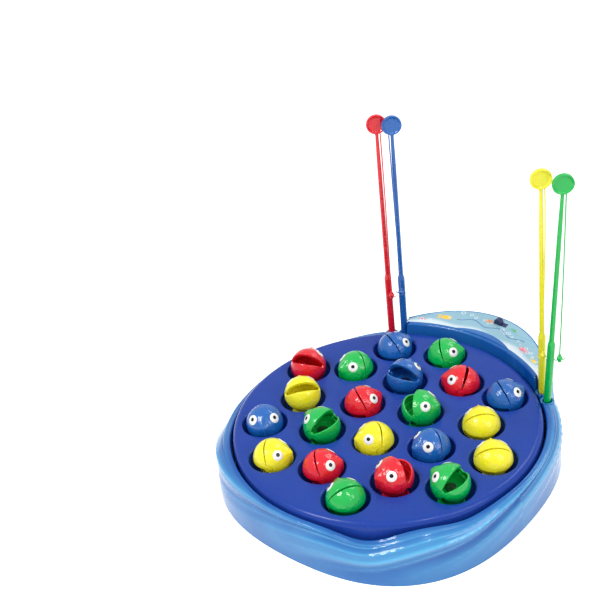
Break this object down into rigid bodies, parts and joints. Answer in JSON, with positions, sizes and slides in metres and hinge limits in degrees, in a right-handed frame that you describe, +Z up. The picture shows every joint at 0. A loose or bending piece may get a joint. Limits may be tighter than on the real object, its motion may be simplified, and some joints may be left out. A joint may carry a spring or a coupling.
{
  "type": "magnetic fishing game",
  "caption": "Tabletop fishing game: wave-shaped tub, motor-driven turntable with wells, snapping fish with magnet mouths, and rods with magnetic lures.",
  "frame": {"origin": "turntable's axis on the surface that the tub stands on", "axes": "+Z up, -Z is the underside's normal, +Y towards the banner, +X to the right seen from the front"},
  "size_m": [0.2692, 0.295, 0.2544],
  "materials": {
    "tub_plastic": "glossy light blue with paler streaks",
    "base_plastic": "satin moulded",
    "turntable_plastic": "glossy dark blue",
    "motor_steel": "brushed",
    "gear_plastic": "satin moulded",
    "dark_plastic": "glossy",
    "magnet_steel": "plated magnet",
    "red_plastic": "glossy moulded",
    "yellow_plastic": "glossy moulded",
    "green_plastic": "glossy moulded",
    "blue_plastic": "glossy moulded",
    "line_nylon": "braided nylon",
    "lure_plastic": "glossy moulded"
  },
  "bodies": {
    "base": {"tub": "tub_plastic", "base_plate": "base_plastic", "battery_door": "base_plastic", "track_floor": "base_plastic", "motor": "motor_steel", "rod_red": "red_plastic", "rod_blue": "blue_plastic", "rod_yellow": "yellow_plastic", "rod_green": "green_plastic", "line_red": "line_nylon", "line_blue": "line_nylon", "line_yellow": "line_nylon", "line_green": "line_nylon", "lures": "lure_plastic"},
    "turntable": {"turntable": "turntable_plastic", "magnets": "magnet_steel", "fish01_body": "yellow_plastic", "fish02_body": "green_plastic", "fish03_body": "red_plastic", "fish04_body": "red_plastic", "fish05_body": "green_plastic", "fish06_body": "blue_plastic", "fish07_body": "yellow_plastic", "fish08_body": "red_plastic", "fish09_body": "blue_plastic", "fish10_body": "green_plastic", "fish11_body": "yellow_plastic", "fish12_body": "red_plastic", "fish13_body": "green_plastic", "fish14_body": "blue_plastic", "fish15_body": "green_plastic", "fish16_body": "blue_plastic", "fish17_body": "yellow_plastic", "fish18_body": "red_plastic", "fish19_body": "blue_plastic", "fish20_body": "green_plastic", "fish21_body": "yellow_plastic"},
    "pinion": {"pinion": "gear_plastic"},
    "switch_knob": {"switch_knob": "dark_plastic"},
    "jaw01": {"fish01_jaw": "yellow_plastic"},
    "jaw02": {"fish02_jaw": "green_plastic"},
    "jaw03": {"fish03_jaw": "red_plastic"},
    "jaw04": {"fish04_jaw": "red_plastic"},
    "jaw05": {"fish05_jaw": "green_plastic"},
    "jaw06": {"fish06_jaw": "blue_plastic"},
    "jaw07": {"fish07_jaw": "yellow_plastic"},
    "jaw08": {"fish08_jaw": "red_plastic"},
    "jaw09": {"fish09_jaw": "blue_plastic"},
    "jaw10": {"fish10_jaw": "green_plastic"},
    "jaw11": {"fish11_jaw": "yellow_plastic"},
    "jaw12": {"fish12_jaw": "red_plastic"},
    "jaw13": {"fish13_jaw": "green_plastic"},
    "jaw14": {"fish14_jaw": "blue_plastic"},
    "jaw15": {"fish15_jaw": "green_plastic"},
    "jaw16": {"fish16_jaw": "blue_plastic"},
    "jaw17": {"fish17_jaw": "yellow_plastic"},
    "jaw18": {"fish18_jaw": "red_plastic"},
    "jaw19": {"fish19_jaw": "blue_plastic"},
    "jaw20": {"fish20_jaw": "green_plastic"},
    "jaw21": {"fish21_jaw": "yellow_plastic"}
  },
  "joints": [
    {"name": "turntable_spin", "type": "hinge", "parent": "base", "child": "turntable", "pos_m": [0, 0, 0.03], "axis": [0, 0, 1], "continuous": true},
    {"name": "pinion_spin", "type": "hinge", "parent": "base", "child": "pinion", "pos_m": [-0.00715, -0.01964, 0.011], "axis": [0, 0, 1], "continuous": true},
    {"name": "switch_slide", "type": "slide", "parent": "base", "child": "switch_knob", "axis": [1, 0, 0], "range_m": [0, 0.005]},
    {"name": "jaw01_hinge", "type": "hinge", "parent": "turntable", "child": "jaw01", "pos_m": [0.01125, -0.02651, 0.0465], "axis": [-0.848, 0.5299, 0], "range_deg": [0, 42]},
    {"name": "jaw02_hinge", "type": "hinge", "parent": "turntable", "child": "jaw02", "pos_m": [-0.0319, -0.04233, 0.051], "axis": [-0.0523, 0.9986, 0], "range_deg": [-42, 0]},
    {"name": "jaw03_hinge", "type": "hinge", "parent": "turntable", "child": "jaw03", "pos_m": [0.00068, -0.0775, 0.0465], "axis": [0.682, -0.7314, 0], "range_deg": [0, 42]},
    {"name": "jaw04_hinge", "type": "hinge", "parent": "turntable", "child": "jaw04", "pos_m": [0.05528, -0.05432, 0.051], "axis": [-0.9563, 0.2924, 0], "range_deg": [-42, 0]},
    {"name": "jaw05_hinge", "type": "hinge", "parent": "turntable", "child": "jaw05", "pos_m": [0.03915, -0.09223, 0.0465], "axis": [0.4067, 0.9135, 0], "range_deg": [0, 42]},
    {"name": "jaw06_hinge", "type": "hinge", "parent": "turntable", "child": "jaw06", "pos_m": [-0.07709, -0.064, 0.0465], "axis": [-0.6947, -0.7193, 0], "range_deg": [0, 42]},
    {"name": "jaw07_hinge", "type": "hinge", "parent": "turntable", "child": "jaw07", "pos_m": [-0.04028, -0.09175, 0.0465], "axis": [0.5446, -0.8387, 0], "range_deg": [0, 42]},
    {"name": "jaw08_hinge", "type": "hinge", "parent": "turntable", "child": "jaw08", "pos_m": [-0.02859, 0.00351, 0.0465], "axis": [0.866, -0.5, 0], "range_deg": [0, 42]},
    {"name": "jaw09_hinge", "type": "hinge", "parent": "turntable", "child": "jaw09", "pos_m": [-0.02071, 0.04879, 0.051], "axis": [0.9903, 0.1392, 0], "range_deg": [-40, 2]},
    {"name": "jaw10_hinge", "type": "hinge", "parent": "turntable", "child": "jaw10", "pos_m": [-0.06745, 0.03816, 0.0465], "axis": [-0.9563, 0.2924, 0], "range_deg": [0, 42]},
    {"name": "jaw11_hinge", "type": "hinge", "parent": "turntable", "child": "jaw11", "pos_m": [-0.07468, -0.02071, 0.051], "axis": [0.6018, 0.7986, 0], "range_deg": [-26, 16]},
    {"name": "jaw12_hinge", "type": "hinge", "parent": "turntable", "child": "jaw12", "pos_m": [-0.09945, 0.01221, 0.051], "axis": [0.9205, 0.3907, 0], "range_deg": [-30, 12]},
    {"name": "jaw13_hinge", "type": "hinge", "parent": "turntable", "child": "jaw13", "pos_m": [-0.01688, 0.09877, 0.0465], "axis": [0.6157, -0.788, 0], "range_deg": [0, 42]},
    {"name": "jaw14_hinge", "type": "hinge", "parent": "turntable", "child": "jaw14", "pos_m": [-0.05932, 0.08075, 0.0465], "axis": [0.9205, -0.3907, 0], "range_deg": [0, 42]},
    {"name": "jaw15_hinge", "type": "hinge", "parent": "turntable", "child": "jaw15", "pos_m": [0.01733, 0.023, 0.051], "axis": [0.3907, -0.9205, 0], "range_deg": [-42, 0]},
    {"name": "jaw16_hinge", "type": "hinge", "parent": "turntable", "child": "jaw16", "pos_m": [0.0526, -0.00646, 0.0465], "axis": [-0.9272, 0.3746, 0], "range_deg": [0, 42]},
    {"name": "jaw17_hinge", "type": "hinge", "parent": "turntable", "child": "jaw17", "pos_m": [0.06678, 0.03933, 0.0465], "axis": [0.6691, 0.7431, 0], "range_deg": [0, 42]},
    {"name": "jaw18_hinge", "type": "hinge", "parent": "turntable", "child": "jaw18", "pos_m": [0.0194, 0.07503, 0.0465], "axis": [-0.5446, 0.8387, 0], "range_deg": [-5, 37]},
    {"name": "jaw19_hinge", "type": "hinge", "parent": "turntable", "child": "jaw19", "pos_m": [0.0603, 0.08002, 0.0465], "axis": [0.848, -0.5299, 0], "range_deg": [0, 42]},
    {"name": "jaw20_hinge", "type": "hinge", "parent": "turntable", "child": "jaw20", "pos_m": [0.09398, -0.03476, 0.051], "axis": [-0.1392, 0.9903, 0], "range_deg": [-42, 0]},
    {"name": "jaw21_hinge", "type": "hinge", "parent": "turntable", "child": "jaw21", "pos_m": [0.09959, 0.011, 0.0465], "axis": [0.6947, 0.7193, 0], "range_deg": [0, 42]}
  ],
  "couplings": [
    {"joint": "pinion_spin", "follows": "turntable_spin", "ratio": -3.3333}
  ]
}
